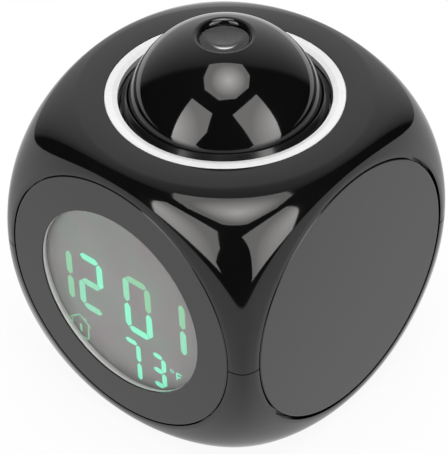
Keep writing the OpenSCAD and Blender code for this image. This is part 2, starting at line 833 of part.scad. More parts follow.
module speaker_magnet() color([0.3, 0.3, 0.32]) at_speaker()
    disc(magnet_r, speaker_y - speaker_h - magnet_h, speaker_y - speaker_h);

// ---- top: ring, press carrier and swivel collar ----

module trim_ring() color(white) from_middle()
    rotate_extrude($fn = big_fn)
        polygon([[ring_in_r, top_seat_z], [ring_r, top_seat_z], [ring_r, half - 0.15],
            [ring_r - 0.15, half], [ring_in_r + ring_slope_w, half],
            [ring_in_r, half - ring_slope_h]]);

module switch_board() color(board) from_middle()
    difference() {
        union() {
            disc(sleeve_r, sleeve_bottom - board_t, sleeve_bottom, big_fn);
            at_ears() disc(ear_r, sleeve_bottom - board_t, sleeve_bottom, small_fn);
        }
        disc(switch_board_in_r, sleeve_bottom - board_t - 1, sleeve_bottom + 1);
        at_ears() disc(small_screw_r + 2 * fit, sleeve_bottom - board_t - 1, sleeve_bottom + 1, small_fn);
    }

module switch_board_screws() color(steel) from_middle()
    at_ears() translate([0, 0, sleeve_bottom - board_t]) rotate([180, 0, 0])
        screw(small_screw_r, small_screw_l, small_head_r, small_head_h);

// The push switch under the front of the carrier.
module press_switch() color(inner) from_middle()
    translate([0, -press_r, sleeve_bottom]) {
        top = carrier_bottom - press_travel - fit - sleeve_bottom;
        translate([-switch_w / 2, -press_switch_w / 2, 0]) cube([switch_w, press_switch_w, top - 0.6]);
        disc(1.7, 0, top, small_fn);
    }

module at_springs()
    for (turn = [90, 210, 330]) rotate([0, 0, turn]) translate([press_r, 0, 0]) children();

module press_springs() color(steel) from_middle()
    at_springs() translate([0, 0, sleeve_bottom + clip_gap])
        coil((spring_d - spring_wire) / 2, spring_wire, carrier_bottom - sleeve_bottom - 2 * clip_gap,
            spring_turns);

module press_carrier() color(inner) from_middle() {
    difference() {
        disc(carrier_r, carrier_bottom, carrier_top, big_fn);
        disc(carrier_low_r, carrier_bottom - 1, carrier_top, big_fn);
        disc(carrier_bore_r, carrier_step, carrier_top - carrier_lip_t, big_fn);
        disc(carrier_lip_r, collar_shoulder, carrier_top + 1, big_fn);
        translate([0, 0, carrier_step - stop_tab_h - fit])
            rotate([0, 0, 270 - swivel_range - stop_tab_w / 2 - 1])
                rotate_extrude(angle = 2 * swivel_range + stop_tab_w + 2, $fn = big_fn)
                    translate([stop_in_r - fit, 0])
                        square([stop_out_r - stop_in_r + 2 * fit, stop_tab_h + 1]);
    }
    translate([-key_w / 2, carrier_r - 0.5, carrier_bottom])
        cube([key_w, key_out + 0.5, carrier_top - carrier_bottom - carrier_slot]);
}

module swivel_collar() color(mould) from_middle() {
    difference() {
        union() {
            disc(collar_r, collar_bottom, collar_shoulder, big_fn);
            disc(collar_lip_r, collar_bottom, collar_top - collar_slope_h, big_fn);
            translate([0, 0, collar_top - collar_slope_h])
                cylinder(r1 = collar_lip_r, r2 = collar_edge_r, h = collar_slope_h, $fn = big_fn);
        }
        translate([0, 0, ball_z]) sphere(collar_bore_r, $fn = big_fn);
        disc(collar_bore_r, collar_bottom - 1, ball_z, big_fn);
        translate([-far / 2, 0, ball_z]) rotate([0, 90, 0])
            cylinder(r = pin_r + run, h = far, $fn = small_fn);
    }
    translate([0, 0, collar_bottom - stop_tab_h])
        rotate([0, 0, 270 - stop_tab_w / 2])
            rotate_extrude(angle = stop_tab_w, $fn = big_fn)
                translate([stop_in_r, 0])
                    square([stop_out_r - stop_in_r, stop_tab_h + eps]);
}

// ---- projector ball ----

module from_ball() translate([0, 0, mid_z + ball_z]) children();

module at_ball_screws() for (y = [-1, 1]) translate([0, y * ball_screw_at, 0]) children();

// The ball between two heights.
module ball_slice(low, high)
    intersection() {
        ball_form(ball_r);
        disc(ball_r + 1, low, high, big_fn);
    }

module ball_form(r) rotate([0, 0, 45]) sphere(r, $fn = big_fn);

// The ball's hollow, less what stands in it.
module ball_hollow()
    difference() {
        ball_form(ball_r - ball_wall);
        disc(ball_r, -ball_r, ball_floor + ball_floor_t);
        at_ball_screws() disc(ball_post_r, -ball_r, ball_r, small_fn);
        disc(well_r + 1.3, flange_z + flange_t, ball_r, mid_fn);
        for (x = [-1, 1]) rotate([0, x * 90, 0]) disc(pin_boss_r, pin_boss_in, ball_r, small_fn);
    }

module ball_cover() color(mould) from_ball()
    difference() {
        ball_slice(ball_split, ball_r + 1);
        ball_hollow();
        disc(well_r, flange_z, ball_r + 1, mid_fn);
        well_lip(sqrt(ball_r * ball_r - (well_r + lip_r) * (well_r + lip_r)));
        at_ball_screws() disc(small_screw_r + fit, ball_split - 1, ball_split + small_screw_l + 1, small_fn);
        for (x = [-1, 1])
            rotate([0, x * 90, 0]) disc(pin_r, pin_boss_in - 1, ball_r + 1, small_fn);
    }

// What is cut off the crown so that the ball rolls over into the lens well.
module well_lip(well_z)
    rotate_extrude($fn = mid_fn)
        difference() {
            translate([0, well_z - lip_r]) square([well_r + lip_r, ball_r]);
            translate([well_r + lip_r, well_z - lip_r]) circle(lip_r, $fn = mid_fn);
        }

module ball_base() color(mould) from_ball()
    difference() {
        ball_slice(ball_floor, ball_split);
        ball_hollow();
        disc(wire_hole_d / 2, ball_floor - 1, ball_floor + 3, small_fn);
        at_ball_screws() disc(small_head_r + fit, ball_floor - 1, ball_split - 3, small_fn);
        at_ball_screws() disc(small_screw_r + fit, ball_floor - 1, ball_split + 1, small_fn);
    }

module ball_screws() color(steel) from_ball()
    at_ball_screws() translate([0, 0, ball_split - 3]) rotate([180, 0, 0])
        screw(small_screw_r, 3 + small_screw_l, small_head_r, small_head_h);

module tilt_pins() color(steel) from_ball()
    for (x = [-1, 1])
        rotate([0, x * 90, 0]) disc(pin_r, pin_boss_in + 0.5, collar_r - 0.3, small_fn);

// A plano-convex lens, flat side up.
module projector_lens() color([0.7, 0.75, 0.78, 0.4]) from_ball() {
    r = well_r - fit;
    bulge_r = (r * r + lens_bulge * lens_bulge) / (2 * lens_bulge);
    disc(r, lens_z - lens_edge_t, lens_z);
    intersection() {
        translate([0, 0, lens_z - lens_edge_t - lens_bulge + bulge_r]) sphere(bulge_r, $fn = big_fn);
        disc(r - barrel_t, lens_z - lens_edge_t - lens_bulge - 1, lens_z - lens_edge_t + eps);
    }
}

module lens_barrel() color(inner) from_ball() {
    r = well_r - fit;
    rotate_extrude($fn = mid_fn)
        polygon([[r - barrel_t, barrel_end], [r, barrel_end], [r, flange_z],
            [flange_r - skirt_t, flange_z], [flange_r - skirt_t, led_board_t / 2],
            [flange_r, led_board_t / 2], [flange_r, flange_z + flange_t],
            [r, flange_z + flange_t], [r, lens_z - lens_edge_t],
            [r - barrel_t, lens_z - lens_edge_t]]);
}

// The small liquid crystal plate that makes the picture, under the barrel's lower end.
module projector_film() color([0.3, 0.1, 0.1]) from_ball()
    translate([-film_w / 2, -film_w / 2, barrel_end - film_t]) cube([film_w, film_w, film_t]);

module led_board() color(board) from_ball() disc(flange_r, -led_board_t / 2, led_board_t / 2);

module projector_led() color([0.8, 0.1, 0.1]) from_ball() {
    disc(led_d / 2, led_board_t / 2, led_top - led_d / 2, small_fn);
    translate([0, 0, led_top - led_d / 2]) intersection() {
        sphere(led_d / 2, $fn = small_fn);
        disc(led_d, -eps, led_d, small_fn);
    }
}

// ---- batteries and their door ----

module battery_door() color(satin) from_middle() {
    length = door_l - 2 * door_gap;
    front = hinge_y;
    back = door_w / 2 - door_gap;
    difference() {
        union() {
            translate([-length / 2, front, -half]) cube([length, back - front, door_t - clip_gap]);
            translate([-length / 2, hinge_y, hinge_z]) rotate([0, 90, 0])
                cylinder(r = hinge_r, h = length, $fn = small_fn);
            translate([-latch_w / 2, back - 0.5, door_in - 1]) cube([latch_w, 0.5 + nib_h, 0.6]);
        }
        for (i = [-1, 1])
            translate([i * (grip_w / 2 + 2) - latch_slit / 2, back - latch_l, -half - 1])
                cube([latch_slit, latch_l + 1, door_t + 2]);
        for (i = [0:3])
            translate([-grip_w / 2, back - (i + 2) * grip_pitch, -half - 0.6])
                cube([grip_w, grip_pitch / 2, 1]);
        translate([-far / 2, hinge_y, hinge_z]) rotate([0, 90, 0])
            cylinder(r = hinge_pin_r, h = far, $fn = small_fn);
    }
}

module door_pins() color(steel) from_middle()
    for (x = [-1, 1])
        translate([x * (door_l / 2 - door_gap - hinge_in), hinge_y, hinge_z])
            rotate([0, x * 90, 0])
                cylinder(r = hinge_pin_r, h = hinge_in + door_gap + hinge_out, $fn = small_fn);

// One cell; way is +1 where its cap points to +X.
module battery_cell(i, way) color([0.35, 0.36, 0.38]) from_middle()
    translate([0, (i - 1) * cell_pitch, cell_z]) rotate([0, way * 90, 0]) {
        cap = bay_l / 2 - contact_t - fit;
        disc(cell_r, cap - cell_l, cap - cap_h, mid_fn);
        disc(cap_r, cap - cap_h - eps, cap, small_fn);
    }

module battery_cell_1() battery_cell(0, 1);

module battery_cell_2() battery_cell(1, -1);

module battery_cell_3() battery_cell(2, 1);

module contact_springs() color(steel) from_middle()
    for (i = [0:2]) {
        way = i == 1 ? -1 : 1;
        translate([0, (i - 1) * cell_pitch, cell_z]) rotate([0, way * 90, 0])
            translate([0, 0, -bay_l / 2 + contact_t + clip_gap])
                coil(contact_coil_r, contact_wire, spring_room + fit - 2 * clip_gap, contact_turns);
    }

module contact_plates() color(steel) from_middle()
    for (i = [0:2], x = [-1, 1])
        translate([x * (bay_l / 2 - contact_t / 2), (i - 1) * cell_pitch, cell_z])
            cube([contact_t, contact_w, contact_w], center = true);

upper_shell();
lower_shell();
front_bezel();
display_frame();
display_window();
lcd_cell();
backlight_plate();
lcd_connector();
main_board();
clock_chip();
temperature_sensor();
main_board_screws();
right_cover();
left_cover();
back_panel();
mode_button();
set_button();
up_button();
down_button();
button_board();
button_switches();
slide_switch();
slider_knob();
button_board_screws();
speaker_frame();
speaker_cone();
speaker_magnet();
trim_ring();
switch_board();
press_switch();
switch_board_screws();
press_springs();
press_carrier();
swivel_collar();
ball_cover();
ball_base();
tilt_pins();
ball_screws();
projector_lens();
lens_barrel();
projector_film();
led_board();
projector_led();
battery_door();
door_pins();
battery_cell_1();
battery_cell_2();
battery_cell_3();
contact_springs();
contact_plates();
rubber_feet();
case_screws();
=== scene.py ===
import json
import math

import bmesh
import bpy
from mathutils import Matrix, Vector


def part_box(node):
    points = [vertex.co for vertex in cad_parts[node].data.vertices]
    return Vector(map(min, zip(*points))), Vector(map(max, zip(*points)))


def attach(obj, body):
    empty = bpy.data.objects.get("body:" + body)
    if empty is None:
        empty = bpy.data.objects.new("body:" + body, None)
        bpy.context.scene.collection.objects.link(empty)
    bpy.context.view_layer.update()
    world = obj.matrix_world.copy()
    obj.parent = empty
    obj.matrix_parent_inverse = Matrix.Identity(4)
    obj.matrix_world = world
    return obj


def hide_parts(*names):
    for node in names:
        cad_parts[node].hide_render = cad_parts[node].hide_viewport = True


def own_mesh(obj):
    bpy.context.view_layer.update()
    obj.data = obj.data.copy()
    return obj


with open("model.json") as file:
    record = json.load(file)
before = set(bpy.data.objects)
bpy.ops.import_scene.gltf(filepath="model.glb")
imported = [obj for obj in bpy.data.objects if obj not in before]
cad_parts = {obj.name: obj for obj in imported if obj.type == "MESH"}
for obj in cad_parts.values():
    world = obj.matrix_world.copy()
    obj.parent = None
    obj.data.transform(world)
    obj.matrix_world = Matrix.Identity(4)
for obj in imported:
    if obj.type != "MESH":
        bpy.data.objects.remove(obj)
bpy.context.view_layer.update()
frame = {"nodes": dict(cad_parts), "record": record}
nodes = frame["nodes"]
mm = 0.001
weld = 1e-6  # points nearer than this, in metres, are one


# camera: a long lens, from above and to the right of the display
cameraSet = {
    "place": (0.3247, -0.3664, 0.4513),
    "look": (-0.5083, 0.5716, -0.6441),
    "up": (-0.415, 0.4928, 0.7648),
    "lens": 203.3,
    "sensor": 36.0,
    "picture": (448, 454),  # the photograph's pixels
    "near": 0.01,
    "far": 20,
}


def makeCamera(part):
    data = bpy.data.cameras.new("camera")
    data.lens = part["lens"]
    data.sensor_width = part["sensor"]
    data.sensor_fit = "AUTO"
    data.clip_start = part["near"]
    data.clip_end = part["far"]
    camera = bpy.data.objects.new("camera", data)
    bpy.context.scene.collection.objects.link(camera)
    back = -Vector(part["look"]).normalized()
    right = Vector(part["up"]).cross(back).normalized()
    up = back.cross(right)
    turn = Matrix((right, up, back)).transposed().to_4x4()
    camera.matrix_world = Matrix.Translation(part["place"]) @ turn
    bpy.context.scene.camera = camera


makeCamera(cameraSet)
print("camera placed")


class Link:
    # a socket that takes part in sums, each of which adds its Math node
    def __init__(self, graph, socket):
        self.graph = graph
        self.socket = socket

    def sum(self, operation, other, swapped=False):
        pair = (other, self) if swapped else (self, other)
        return self.graph.add("ShaderNodeMath", {"operation": operation}, {0: pair[0], 1: pair[1]})[0]

    def __add__(self, other):
        return self.sum("ADD", other)

    def __radd__(self, other):
        return self.sum("ADD", other, True)

    def __sub__(self, other):
        return self.sum("SUBTRACT", other)

    def __rsub__(self, other):
        return self.sum("SUBTRACT", other, True)

    def __mul__(self, other):
        return self.sum("MULTIPLY", other)

    def __rmul__(self, other):
        return self.sum("MULTIPLY", other, True)


class Made:
    # a node whose outputs are read by name or number
    def __init__(self, graph, node):
        self.graph = graph
        self.node = node

    def __getitem__(self, key):
        return Link(self.graph, self.node.outputs[key])


class Graph:
    def __init__(self, tree):
        self.tree = tree
        tree.nodes.clear()

    def add(self, kind, settings=None, inputs=None):
        node = self.tree.nodes.new(kind)
        for key, value in (settings or {}).items():
            setattr(node, key, value)
        for key, value in (inputs or {}).items():
            socket = node.inputs[key]
            if isinstance(value, Link):
                self.tree.links.new(value.socket, socket)
            elif hasattr(value, "__len__") and len(value) < len(socket.default_value):
                socket.default_value = (*value, 1)
            else:
                socket.default_value = value
        return Made(self, node)

    def place(self, stretch=(1, 1, 1)):
        spot = self.add("ShaderNodeTexCoord")["Object"]
        return self.add("ShaderNodeMapping", None, {"Vector": spot, "Scale": stretch})["Vector"]

    def noise(self, size, detail=2.0, rough=0.5, at=None):
        inputs = {"Vector": at or self.place(), "Scale": 1 / size, "Detail": detail, "Roughness": rough}
        return self.add("ShaderNodeTexNoise", None, inputs)["Fac"]

    def ramp(self, value, low, high, start=0.0, end=1.0):
        inputs = {"Value": value, "From Min": low, "From Max": high, "To Min": start, "To Max": end}
        return self.add("ShaderNodeMapRange", {"clamp": True}, inputs)["Result"]

    def mix(self, factor, first, second):
        # the Mix node has sockets of one name for each type, so its colours go by number
        return self.add("ShaderNodeMix", {"data_type": "RGBA"}, {0: factor, 6: first, 7: second})[2]

    def measure(self, operation, *vectors):
        # Vector Math that gives a number
        return self.add("ShaderNodeVectorMath", {"operation": operation}, dict(enumerate(vectors)))["Value"]

    def blend(self, factor, first, second):
        return self.add("ShaderNodeMixShader", None, {0: factor, 1: first, 2: second})["Shader"]

    def glow(self, colour, level):
        return self.add("ShaderNodeEmission", None, {"Color": colour, "Strength": level})["Emission"]

    def bump(self, height, distance):
        return self.add("ShaderNodeBump", None, {"Height": height, "Distance": distance})["Normal"]

    def surface(self, shader, output="ShaderNodeOutputMaterial"):
        self.add(output, None, {"Surface": shader})


def newMaterial(name):
    material = bpy.data.materials.new(name)
    material.use_nodes = True
    return material, Graph(material.node_tree)


def principled(graph, **sockets):
    inputs = {key.replace("_", " "): value for key, value in sockets.items()}
    return graph.add("ShaderNodeBsdfPrincipled", None, inputs)["BSDF"]


# patterns of the finishes: how fine and how rough each noise is, and the values that end a change
smudgeNoise = (3, 0.55)
grainNoise = (4, 0.6)
glassNoise = (3, 0.6)
tintEnds = (0.3, 0.7)
smudgeEnds = (0.35, 0.7)
glassEnds = (0.4, 0.8)


def glossPlastic(name, part):
    material, graph = newMaterial(name)
    smudge = graph.noise(part["smudge"] * mm, *smudgeNoise)
    grain = graph.noise(part["grain"] * mm)
    tint = graph.mix(graph.ramp(smudge, *tintEnds), part["colour"], part["tint"])
    roughness = graph.ramp(smudge, *smudgeEnds, part["smooth"], part["rough"])
    shader = principled(graph, Base_Color=tint, Roughness=roughness, IOR=part["ior"],
                        Normal=graph.bump(grain, part["ripple"] * mm))
    graph.surface(shader)
    return material


def mattePlastic(name, part):
    material, graph = newMaterial(name)
    spark = graph.noise(part["grain"] * mm, *grainNoise)
    cloud = graph.noise(part["cloud"] * mm)
    tint = graph.mix(graph.ramp(cloud, *tintEnds), part["colour"], part["tint"])
    roughness = graph.ramp(spark, *tintEnds, part["smooth"], part["rough"])
    shader = principled(graph, Base_Color=tint, Roughness=roughness,
                        Normal=graph.bump(spark, part["ripple"] * mm))
    graph.surface(shader)
    return material


def metal(name, part):
    material, graph = newMaterial(name)
    lines = graph.noise(part["grain"] * mm, *grainNoise, graph.place(part["brush"]))
    tint = graph.mix(graph.ramp(lines, *tintEnds), part["colour"], part["tint"])
    roughness = graph.ramp(lines, *tintEnds, part["smooth"], part["rough"])
    shader = principled(graph, Base_Color=tint, Roughness=roughness, Metallic=1.0,
                        Normal=graph.bump(lines, part["ripple"] * mm))
    graph.surface(shader)
    return material


def glass(name, part):
    material, graph = newMaterial(name)
    smudge = graph.noise(part["smudge"] * mm, *glassNoise)
    roughness = graph.ramp(smudge, *glassEnds, part["smooth"], part["rough"])
    shader = principled(graph, Base_Color=part["colour"], Roughness=roughness, IOR=part["ior"],
                        Alpha=part["alpha"], Transmission_Weight=part["through"])
    graph.surface(shader)
    return material


# one finish for each material slot; smudge, grain, cloud and ripple are sizes in mm
finishSet = {
    "shell": (glossPlastic, {"colour": (0.0035, 0.0035, 0.0038), "tint": (0.005, 0.005, 0.0053), "smudge": 18,
                             "grain": 3.2, "smooth": 0.035, "rough": 0.075, "ripple": 0.0012, "ior": 1.46}),
    "face": (glossPlastic, {"colour": (0.006, 0.006, 0.0058), "tint": (0.008, 0.008, 0.0076), "smudge": 25,
                            "grain": 5, "smooth": 0.05, "rough": 0.09, "ripple": 0.001, "ior": 1.53}),
    "collar": (glossPlastic, {"colour": (0.008, 0.008, 0.0085), "tint": (0.011, 0.011, 0.0115), "smudge": 12,
                              "grain": 1.4, "smooth": 0.1, "rough": 0.16, "ripple": 0.002, "ior": 1.6}),
    "ball": (glossPlastic, {"colour": (0.0035, 0.0035, 0.0038), "tint": (0.005, 0.005, 0.0053), "smudge": 14,
                            "grain": 4, "smooth": 0.03, "rough": 0.07, "ripple": 0.0008, "ior": 1.5}),
    "frame": (mattePlastic, {"colour": (0.62, 0.62, 0.61), "tint": (0.7, 0.7, 0.69), "cloud": 9,
                             "grain": 0.5, "smooth": 0.35, "rough": 0.5, "ripple": 0.01}),
    "ring": (glossPlastic, {"colour": (0.93, 0.93, 0.93), "tint": (0.96, 0.96, 0.96), "smudge": 14,
                            "grain": 1.2, "smooth": 0.2, "rough": 0.35, "ripple": 0.003, "ior": 1.5}),
    "window": (glass, {"colour": (0.5, 0.5, 0.5), "alpha": 0.12, "through": 0.0, "smudge": 16,
                       "smooth": 0.02, "rough": 0.05, "ior": 1.5}),
    "lens": (glass, {"colour": (0.95, 0.97, 0.98), "alpha": 1.0, "through": 1.0, "smudge": 6,
                     "smooth": 0.0, "rough": 0.02, "ior": 1.5}),
    "film": (glass, {"colour": (0.02, 0.02, 0.022), "alpha": 0.9, "through": 0.0, "smudge": 4,
                     "smooth": 0.1, "rough": 0.16, "ior": 1.5}),
    "backlight": (mattePlastic, {"colour": (0.75, 0.78, 0.74), "tint": (0.8, 0.82, 0.78), "cloud": 12,
                                 "grain": 0.6, "smooth": 0.4, "rough": 0.5, "ripple": 0.004}),
    "strip": (mattePlastic, {"colour": (0.35, 0.12, 0.14), "tint": (0.42, 0.16, 0.18), "cloud": 4,
                             "grain": 0.3, "smooth": 0.5, "rough": 0.65, "ripple": 0.02}),
    "board": (glossPlastic, {"colour": (0.01, 0.11, 0.045), "tint": (0.015, 0.15, 0.06), "smudge": 4,
                             "grain": 0.6, "smooth": 0.25, "rough": 0.4, "ripple": 0.01, "ior": 1.5}),
    "chip": (glossPlastic, {"colour": (0.01, 0.01, 0.01), "tint": (0.015, 0.015, 0.015), "smudge": 5,
                            "grain": 1.5, "smooth": 0.2, "rough": 0.35, "ripple": 0.02, "ior": 1.5}),
    "sensor": (glossPlastic, {"colour": (0.3, 0.2, 0.06), "tint": (0.36, 0.25, 0.08), "smudge": 2,
                              "grain": 1, "smooth": 0.2, "rough": 0.3, "ripple": 0.01, "ior": 1.5}),
    "led": (glossPlastic, {"colour": (0.55, 0.04, 0.03), "tint": (0.6, 0.06, 0.04), "smudge": 3,
                           "grain": 2, "smooth": 0.05, "rough": 0.1, "ripple": 0.004, "ior": 1.5}),
    "button": (glossPlastic, {"colour": (0.02, 0.02, 0.021), "tint": (0.026, 0.026, 0.027), "smudge": 5,
                              "grain": 0.5, "smooth": 0.3, "rough": 0.42, "ripple": 0.006, "ior": 1.5}),
    "part": (mattePlastic, {"colour": (0.03, 0.03, 0.031), "tint": (0.04, 0.04, 0.041), "cloud": 8,
                            "grain": 0.4, "smooth": 0.45, "rough": 0.6, "ripple": 0.01}),
    "paper": (mattePlastic, {"colour": (0.02, 0.02, 0.02), "tint": (0.035, 0.035, 0.034), "cloud": 5,
                             "grain": 0.3, "smooth": 0.75, "rough": 0.9, "ripple": 0.03}),
    "foot": (mattePlastic, {"colour": (0.025, 0.025, 0.025), "tint": (0.035, 0.035, 0.035), "cloud": 5,
                            "grain": 0.3, "smooth": 0.7, "rough": 0.85, "ripple": 0.03}),
    "screw": (metal, {"colour": (0.55, 0.55, 0.56), "tint": (0.66, 0.66, 0.67), "brush": (1, 1, 6),
                      "grain": 0.8, "smooth": 0.25, "rough": 0.4, "ripple": 0.004}),
    "can": (metal, {"colour": (0.5, 0.5, 0.5), "tint": (0.62, 0.62, 0.62), "brush": (6, 1, 1),
                    "grain": 1, "smooth": 0.3, "rough": 0.45, "ripple": 0.004}),
    "magnet": (metal, {"colour": (0.25, 0.25, 0.26), "tint": (0.32, 0.32, 0.33), "brush": (1, 1, 1),
                       "grain": 0.8, "smooth": 0.45, "rough": 0.6, "ripple": 0.01}),
    "spring": (metal, {"colour": (0.62, 0.62, 0.62), "tint": (0.72, 0.72, 0.71), "brush": (1, 1, 1),
                       "grain": 0.6, "smooth": 0.18, "rough": 0.3, "ripple": 0.003}),
    "contact": (metal, {"colour": (0.66, 0.65, 0.62), "tint": (0.74, 0.73, 0.7), "brush": (1, 5, 1),
                        "grain": 0.8, "smooth": 0.2, "rough": 0.34, "ripple": 0.003}),
    "cellcase": (glossPlastic, {"colour": (0.06, 0.065, 0.07), "tint": (0.08, 0.085, 0.09), "smudge": 8,
                                "grain": 1, "smooth": 0.2, "rough": 0.32, "ripple": 0.004, "ior": 1.5}),
}

finishes = {slot: make(slot + "Finish", part) for slot, (make, part) in finishSet.items()}


# the display's ground: a grey cell with a faint oil-film tint
cellSet = {
    "light": (0.315, 0.32, 0.3),
    "dark": (0.27, 0.262, 0.25),
    "green": (0.265, 0.31, 0.275),
    "pink": (0.3, 0.262, 0.272),
    "cloud": 17,
    "darkEnds": (0.35, 0.65),
    "film": 10.2,
    "greenEnds": (0.5, 0.68),
    "pinkEnds": (0.46, 0.3),
    "rough": 0.35,
}


def makeCellFinish(part):
    material, graph = newMaterial("cellFinish")
    cloud = graph.noise(part["cloud"] * mm, 1.5)
    film = graph.noise(part["film"] * mm, 1, 0.4)
    ground = graph.mix(graph.ramp(cloud, *part["darkEnds"]), part["light"], part["dark"])
    ground = graph.mix(graph.ramp(film, *part["greenEnds"]), ground, part["green"])
    ground = graph.mix(graph.ramp(film, *part["pinkEnds"]), ground, part["pink"])
    graph.surface(principled(graph, Base_Color=ground, Roughness=part["rough"]))
    return material


finishes["cell"] = makeCellFinish(cellSet)
print("finishes made", len(finishes))

slotOf = {entry["node"]: entry["material_slot"] for entry in frame["record"]["subparts"]}


def dress(target, finish):
    target.data.materials.clear()
    target.data.materials.append(finish)


def newPiece(name, bm):
    mesh = bpy.data.meshes.new(name)
    bm.to_mesh(mesh)
    bm.free()
    piece = bpy.data.objects.new(name, mesh)
    bpy.context.scene.collection.objects.link(piece)
    return piece


for name, target in nodes.items():
    dress(target, finishes[slotOf[name]])
print("nodes dressed", len(nodes))


# housing skin: the shells with fuller corners between the round flats; sizes in mm
skinSet = {
    "edge": 4.4,      # rounding between two flats
    "swell": 25,      # how fast the corners rise from a flat's rim, for each radian
    "blend": 0.3,     # softens the meeting of flat and corner
    "depth": 1,       # points deeper below the flats than this are inside
    "near": 0.03,     # points this near the moulded outside are on it
    "facing": 0.5,    # a face of the skin looks outwards by at least this cosine
    "longest": 1.7,   # longer edges are cut in two
    "rounds": 2,
    "flat": 0.05,     # points this near a flat lie on it
    "step": 0.02,     # for the slope
}
skins = {"upperSkin": "upper_shell", "lowerSkin": "lower_shell"}

low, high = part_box("upper_shell")
halfWidth = (high[0] - low[0]) / 2 / mm
bodyMiddle = Vector((0, 0, high[2] - halfWidth * mm))


def mouldedReach(way, part):
    # the shells' own outside: flats, their rounding, and a ball between them
    flat = halfWidth - part["edge"]
    centre = flat * math.sqrt(2)
    turn = math.acos(min(1, max(abs(c) for c in way)))
    if turn >= math.pi / 4:
        return centre + part["edge"]
    if math.tan(turn) <= flat / halfWidth:
        return halfWidth / math.cos(turn)
    off = math.pi / 4 - turn
    return centre * math.cos(off) + math.sqrt(part["edge"] ** 2 - (centre * math.sin(off)) ** 2)


def fullReach(way, part):
    # flats with the same rims; between three of them the corner swells a little beyond a ball
    flat = halfWidth - part["edge"]
    rim = math.atan(flat / halfWidth)
    first, second, third = sorted(math.acos(min(1, abs(c))) - rim for c in way)
    rise = first / math.sqrt(1 + (first / second) ** 2 + (first / third) ** 2)
    lobe = math.hypot(halfWidth, flat) + part["swell"] * rise
    plane = halfWidth / max(abs(c) for c in way)
    return min(plane, lobe) - max(part["blend"] - abs(plane - lobe), 0) ** 2 / (4 * part["blend"])


def fullNormal(place, part):
    def height(spot):
        return spot.length - fullReach(spot.normalized(), part)
    sides = [Vector(side) * part["step"] for side in ((1, 0, 0), (0, 1, 0), (0, 0, 1))]
    return Vector([height(place + side) - height(place - side) for side in sides]).normalized()


def makeSkin(name, node, part):
    source = nodes[node].data
    bm = bmesh.new()
    bm.from_mesh(source)
    kept = bm.loops.layers.float_vector.new("kept")
    isSkin = bm.faces.layers.int.new("isSkin")
    normals = iter(source.corner_normals)
    for face in bm.faces:
        for loop in face.loops:
            loop[kept] = next(normals).vector
    bmesh.ops.remove_doubles(bm, verts=bm.verts, dist=weld)

    def local(vert):
        return (vert.co - bodyMiddle) / mm

    def isOutside(place):
        off = place.length - mouldedReach(place.normalized(), part)
        return place.length > halfWidth - part["depth"] and abs(off) < part["near"]

    outside = {vert for vert in bm.verts if isOutside(local(vert))}
    for face in bm.faces:
        middle = (face.calc_center_median() - bodyMiddle).normalized()
        if all(vert in outside for vert in face.verts) and face.normal.dot(middle) > part["facing"]:
            face[isSkin] = 1
    for _ in range(part["rounds"]):
        edges = {edge for face in bm.faces if face[isSkin] for edge in face.edges
                 if edge.calc_length() > part["longest"] * mm
                 and any(max(abs(c) for c in local(vert)) < halfWidth - part["flat"] for vert in edge.verts)}
        bmesh.ops.subdivide_edges(bm, edges=list(edges), cuts=1)
        bmesh.ops.triangulate(bm, faces=[face for face in bm.faces if len(face.verts) > 3])
    turned = {}
    for vert in {vert for face in bm.faces if face[isSkin] for vert in face.verts}:
        way = local(vert).normalized()
        place = way * fullReach(way, part)
        turned[vert] = fullNormal(place, part)
        vert.co = bodyMiddle + place * mm
    corners = []
    for face in bm.faces:
        face.smooth = True
        for loop in face.loops:
            corners.append(turned[loop.vert] if face[isSkin] else Vector(loop[kept]))
    bm.loops.layers.float_vector.remove(kept)
    bm.faces.layers.int.remove(isSkin)
    print(name, len(bm.faces), "faces", len(turned), "points moved")
    piece = newPiece(name, bm)
    piece.data.normals_split_custom_set(corners)
    dress(piece, finishes["shell"])
    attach(piece, "housing")
    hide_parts(node)


for name, node in skins.items():
    makeSkin(name, node, skinSet)


# projector lens: flat side up, rounded below; sizes in mm
lensSet = {
    "node": "projector_lens",
    "lift": 1.2,      # above the node's own place
    "edge": 0.7,
    "bulge": 1.25,
    "round": 0.12,
    "steps": 8,
    "segments": 64,
    "crease": 30,     # sharper edges than this stay sharp, in degrees
}


def makeLens(part):
    # its half profile is spun about the ball's axis
    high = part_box(part["node"])[1]
    reach = high[0] / mm
    top = high[2] / mm + part["lift"]
    curve = (reach ** 2 + part["bulge"] ** 2) / (2 * part["bulge"])
    middle = top - part["edge"] - part["bulge"] + curve
    points = [(0, top), (reach - part["round"], top), (reach, top - part["round"])]
    for step in range(part["steps"] + 1):
        x = reach * (1 - step / part["steps"])
        points.append((x, middle - math.sqrt(curve ** 2 - x ** 2)))
    bm = bmesh.new()
    verts = [bm.verts.new((x * mm, 0, z * mm)) for x, z in points]
    edges = [bm.edges.new(pair) for pair in zip(verts, verts[1:])]
    bmesh.ops.spin(bm, geom=verts + edges, cent=(0, 0, 0), axis=(0, 0, 1), angle=math.tau,
                   steps=part["segments"], use_merge=True)
    bmesh.ops.remove_doubles(bm, verts=bm.verts, dist=weld)
    bmesh.ops.recalc_face_normals(bm, faces=bm.faces)
    for face in bm.faces:
        face.smooth = True
    for edge in bm.edges:
        edge.smooth = edge.calc_face_angle(0) < math.radians(part["crease"])
    piece = newPiece("glassLens", bm)
    dress(piece, finishes["lens"])
    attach(piece, "ball")
    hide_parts("projector_lens")


makeLens(lensSet)
print("lens turned")


# press springs: the node's coils as one welded, smooth piece on the housing
springSet = {"node": "press_springs", "travel": 1.5}


